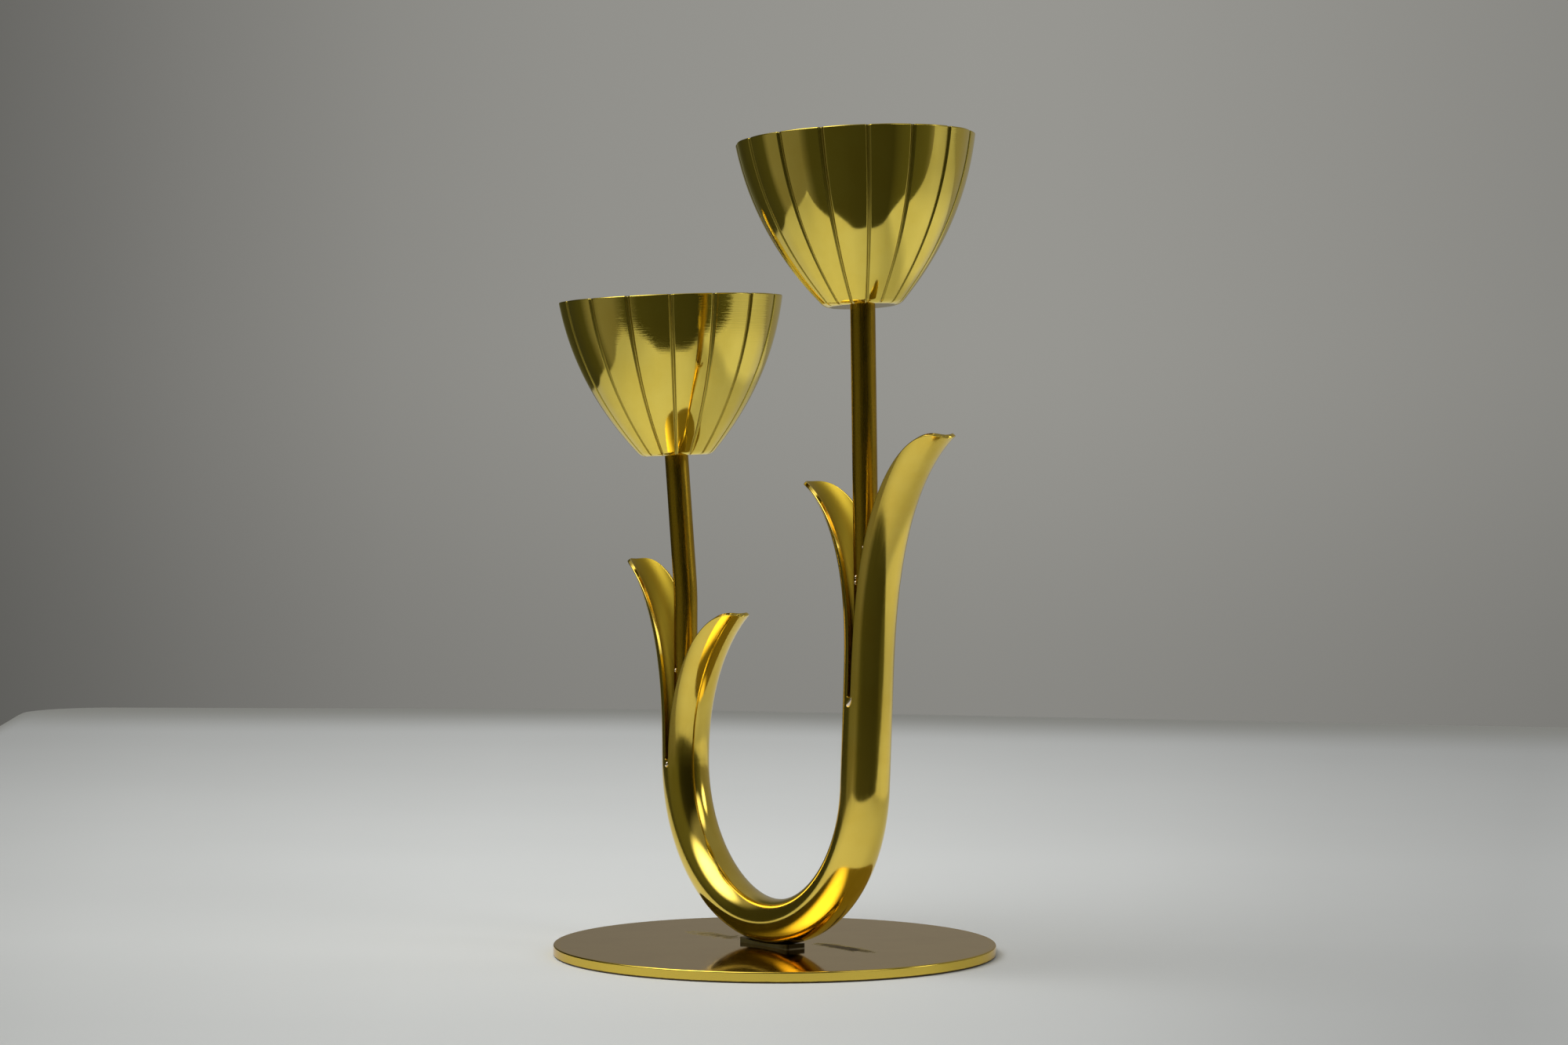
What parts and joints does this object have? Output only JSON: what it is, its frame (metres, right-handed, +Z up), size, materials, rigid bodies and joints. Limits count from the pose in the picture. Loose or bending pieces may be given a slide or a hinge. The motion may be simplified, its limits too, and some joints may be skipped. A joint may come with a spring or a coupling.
{
  "type": "candle holder",
  "caption": "Table candle holder: a brass tube bent into a U, its ends split into leaves, with rod stems that carry fluted flower cups for candles, on a round base plate",
  "frame": {"origin": "middle of the base plate's underside, on the table", "axes": "+Z up; +X from the shorter leg to the taller leg, in the plane of the U; +Y away from the viewer's side of the U"},
  "size_m": [0.1403, 0.11, 0.2013],
  "materials": {
    "base_brass": "mirror polished",
    "leaf_brass": "mirror polished",
    "stem_brass": "polished",
    "cup_brass": "mirror polished",
    "tin_solder": "cast tin, satin",
    "screw_steel": "satin"
  },
  "bodies": {
    "root": {"base_disc": "base_brass", "base_screw": "screw_steel", "foot_saddle": "tin_solder", "leaf_tube": "leaf_brass", "left_stem": "stem_brass", "right_stem": "stem_brass", "left_solder": "tin_solder", "right_solder": "tin_solder", "left_cup": "cup_brass", "right_cup": "cup_brass", "left_spacer": "stem_brass", "right_spacer": "stem_brass", "left_socket": "cup_brass", "right_socket": "cup_brass", "cup_screws": "screw_steel"}
  },
  "joints": []
}
